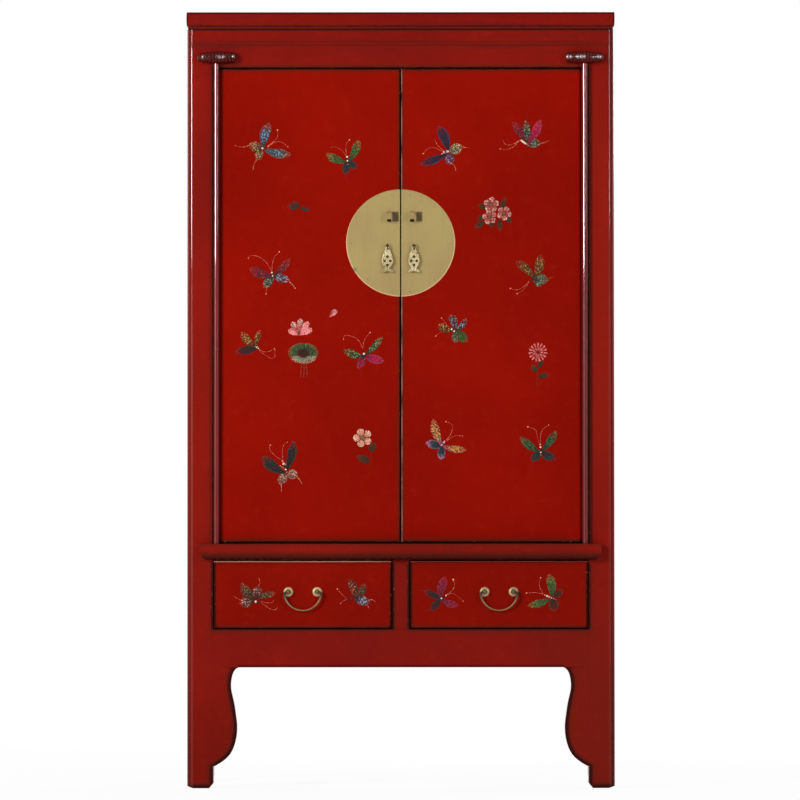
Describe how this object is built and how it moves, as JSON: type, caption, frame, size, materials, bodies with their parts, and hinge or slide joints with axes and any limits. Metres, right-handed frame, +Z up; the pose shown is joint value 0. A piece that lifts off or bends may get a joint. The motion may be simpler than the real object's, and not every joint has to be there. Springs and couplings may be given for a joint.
{
  "type": "wardrobe",
  "caption": "Tall lacquered cabinet with pole-hung double doors under a round brass lock plate, shelves inside, drawers with bail handles and legs with curved brackets.",
  "frame": {"origin": "on the floor, below the middle of the outside box", "axes": "+X to the viewer's right, -Y the front with doors and drawers, +Z up"},
  "size_m": [1.05, 0.55, 1.9],
  "materials": {
    "red_lacquer": "gloss red lacquer, edges rubbed to black",
    "plain_wood": "plain oiled wood",
    "pale_brass": "satin",
    "aged_brass": "aged"
  },
  "bodies": {
    "root": {"left_front_post": "red_lacquer", "right_front_post": "red_lacquer", "left_rear_post": "red_lacquer", "right_rear_post": "red_lacquer", "cap_front_rail": "red_lacquer", "cap_rear_rail": "red_lacquer", "cap_side_rails": "red_lacquer", "top_panel": "red_lacquer", "header_rail": "red_lacquer", "front_middle_rail": "red_lacquer", "front_apron": "red_lacquer", "drawer_divider": "red_lacquer", "rear_rails": "red_lacquer", "rear_apron": "red_lacquer", "side_rails": "red_lacquer", "side_aprons": "red_lacquer", "left_side_panels": "red_lacquer", "right_side_panels": "red_lacquer", "back_panels": "red_lacquer", "left_spandrel": "red_lacquer", "right_spandrel": "red_lacquer", "side_spandrels": "red_lacquer", "ledge": "red_lacquer", "left_pivot_block": "red_lacquer", "right_pivot_block": "red_lacquer", "wardrobe_floor": "plain_wood", "bottom_board": "plain_wood", "lower_shelf": "plain_wood", "upper_shelf": "plain_wood", "shelf_cleats": "plain_wood", "drawer_runners": "plain_wood", "door_stops": "plain_wood"},
    "left_door": {"left_hinge_stile": "red_lacquer", "left_door_panel": "red_lacquer", "left_door_battens": "plain_wood", "left_lock_plate": "pale_brass", "left_plate_tacks": "pale_brass", "left_lock_staple": "pale_brass", "left_pull_loop": "pale_brass"},
    "left_drawer": {"left_drawer_front": "red_lacquer", "left_drawer_sides": "plain_wood", "left_drawer_back": "plain_wood", "left_drawer_bottom": "plain_wood", "left_bail_posts": "aged_brass"},
    "left_pendant": {"left_pendant": "pale_brass"},
    "left_bail": {"left_bail": "aged_brass"},
    "right_door": {"right_hinge_stile": "red_lacquer", "right_door_panel": "red_lacquer", "right_door_battens": "plain_wood", "right_lock_plate": "pale_brass", "right_plate_tacks": "pale_brass", "right_lock_staple": "pale_brass", "right_pull_loop": "pale_brass"},
    "right_drawer": {"right_drawer_front": "red_lacquer", "right_drawer_sides": "plain_wood", "right_drawer_back": "plain_wood", "right_drawer_bottom": "plain_wood", "right_bail_posts": "aged_brass"},
    "right_pendant": {"right_pendant": "pale_brass"},
    "right_bail": {"right_bail": "aged_brass"}
  },
  "joints": [
    {"name": "left_door_swing", "type": "hinge", "parent": "root", "child": "left_door", "pos_m": [-0.451, -0.2515, 1.2], "axis": [0, 0, -1], "range_deg": [0, 180]},
    {"name": "left_pendant_swing", "type": "hinge", "parent": "left_door", "child": "left_pendant", "pos_m": [-0.0324, -0.2518, 1.325], "axis": [-1, 0, 0], "range_deg": [0, 120]},
    {"name": "left_drawer_slide", "type": "slide", "parent": "root", "child": "left_drawer", "axis": [0, -1, 0], "range_m": [0, 0.33]},
    {"name": "left_bail_swing", "type": "hinge", "parent": "left_drawer", "child": "left_bail", "pos_m": [-0.24, -0.253, 0.4795], "axis": [-1, 0, 0], "range_deg": [0, 120]},
    {"name": "right_door_swing", "type": "hinge", "parent": "root", "child": "right_door", "pos_m": [0.451, -0.2515, 1.2], "axis": [0, 0, 1], "range_deg": [0, 180]},
    {"name": "right_pendant_swing", "type": "hinge", "parent": "right_door", "child": "right_pendant", "pos_m": [0.0324, -0.2518, 1.325], "axis": [-1, 0, 0], "range_deg": [0, 120]},
    {"name": "right_drawer_slide", "type": "slide", "parent": "root", "child": "right_drawer", "axis": [0, -1, 0], "range_m": [0, 0.33]},
    {"name": "right_bail_swing", "type": "hinge", "parent": "right_drawer", "child": "right_bail", "pos_m": [0.24, -0.253, 0.4795], "axis": [-1, 0, 0], "range_deg": [0, 120]}
  ]
}
